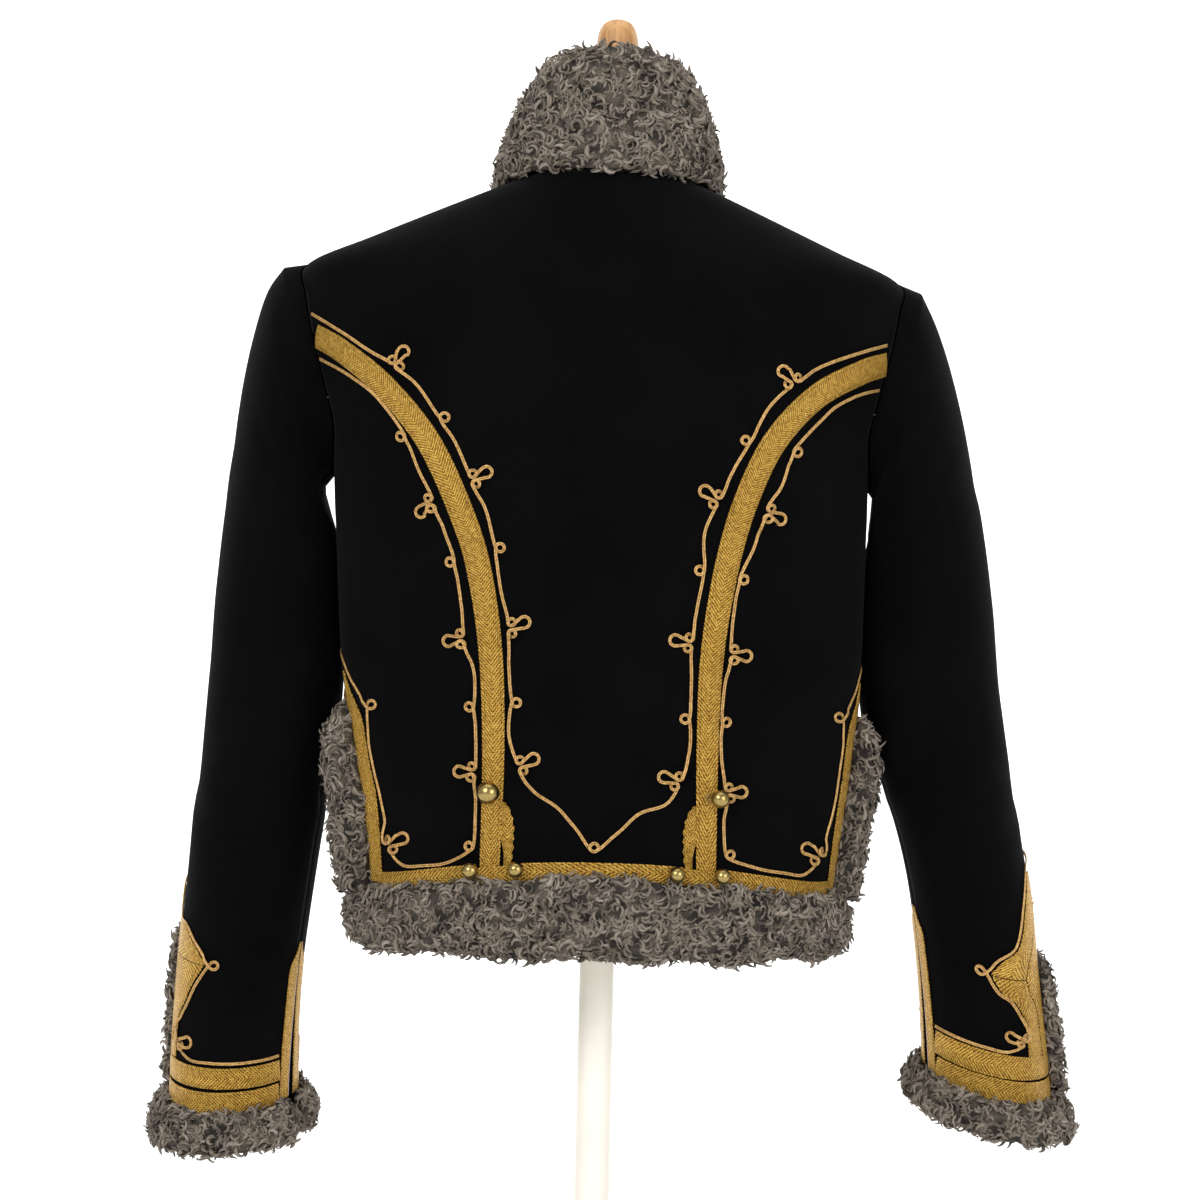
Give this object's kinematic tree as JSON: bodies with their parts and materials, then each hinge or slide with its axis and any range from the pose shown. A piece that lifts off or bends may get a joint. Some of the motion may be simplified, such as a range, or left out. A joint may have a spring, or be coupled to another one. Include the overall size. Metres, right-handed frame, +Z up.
{
  "type": "pelisse coat on dress form",
  "caption": "Short fur-trimmed wool pelisse coat with gold lace and cord tracing, closed, on a limbless dress form with a turned knob, pole and round base.",
  "frame": {"origin": "centre of the base's underside, on the floor", "axes": "+Z up, the coat's back faces -Y, the wearer's right sleeve is at +X"},
  "size_m": [0.7086, 0.3168, 0.996],
  "materials": {
    "wool": "black felted wool cloth",
    "fleece": "grey-brown curled lamb fleece",
    "lace": "woven metallic gold lace",
    "tracing": "twisted gold cord",
    "brass": "polished, gilt",
    "linen": "plain woven cover",
    "beech": "turned and varnished",
    "paint": "cream, semi-gloss"
  },
  "bodies": {
    "root": {"back_panel": "wool", "ball_hem_left_inner": "brass", "ball_hem_left_outer": "brass", "ball_hem_right_inner": "brass", "ball_hem_right_outer": "brass", "ball_top_left": "brass", "ball_top_right": "brass", "collar_stand": "wool", "form_knob": "beech", "form_stand": "paint", "form_torso": "linen", "front_left": "wool", "front_right": "wool", "fur_collar": "fleece", "fur_cuff_left": "fleece", "fur_cuff_right": "fleece", "fur_front_left": "fleece", "fur_front_right": "fleece", "fur_hem": "fleece", "fur_hip_left": "fleece", "fur_hip_right": "fleece", "fur_strip_left": "fleece", "fur_strip_right": "fleece", "lace_back_left": "lace", "lace_back_right": "lace", "lace_cuff_left_back": "lace", "lace_cuff_left_front": "lace", "lace_cuff_right_back": "lace", "lace_cuff_right_front": "lace", "lace_hem_front_left": "lace", "lace_hem_front_right": "lace", "lace_hem_left": "lace", "lace_hem_middle": "lace", "lace_hem_right": "lace", "lace_hip_left_back": "lace", "lace_hip_left_front": "lace", "lace_hip_right_back": "lace", "lace_hip_right_front": "lace", "lace_peak_left_back": "lace", "lace_peak_left_front": "lace", "lace_peak_right_back": "lace", "lace_peak_right_front": "lace", "lace_slit_left_under": "lace", "lace_slit_left_upper": "lace", "lace_slit_right_under": "lace", "lace_slit_right_upper": "lace", "lace_tail_left": "lace", "lace_tail_right": "lace", "side_body_left": "wool", "side_body_right": "wool", "sleeve_left_under": "wool", "sleeve_left_upper": "wool", "sleeve_right_under": "wool", "sleeve_right_upper": "wool", "trace_cuff_left": "tracing", "trace_cuff_right": "tracing", "trace_inner": "tracing", "trace_outer_left": "tracing", "trace_outer_right": "tracing"}
  },
  "joints": []
}
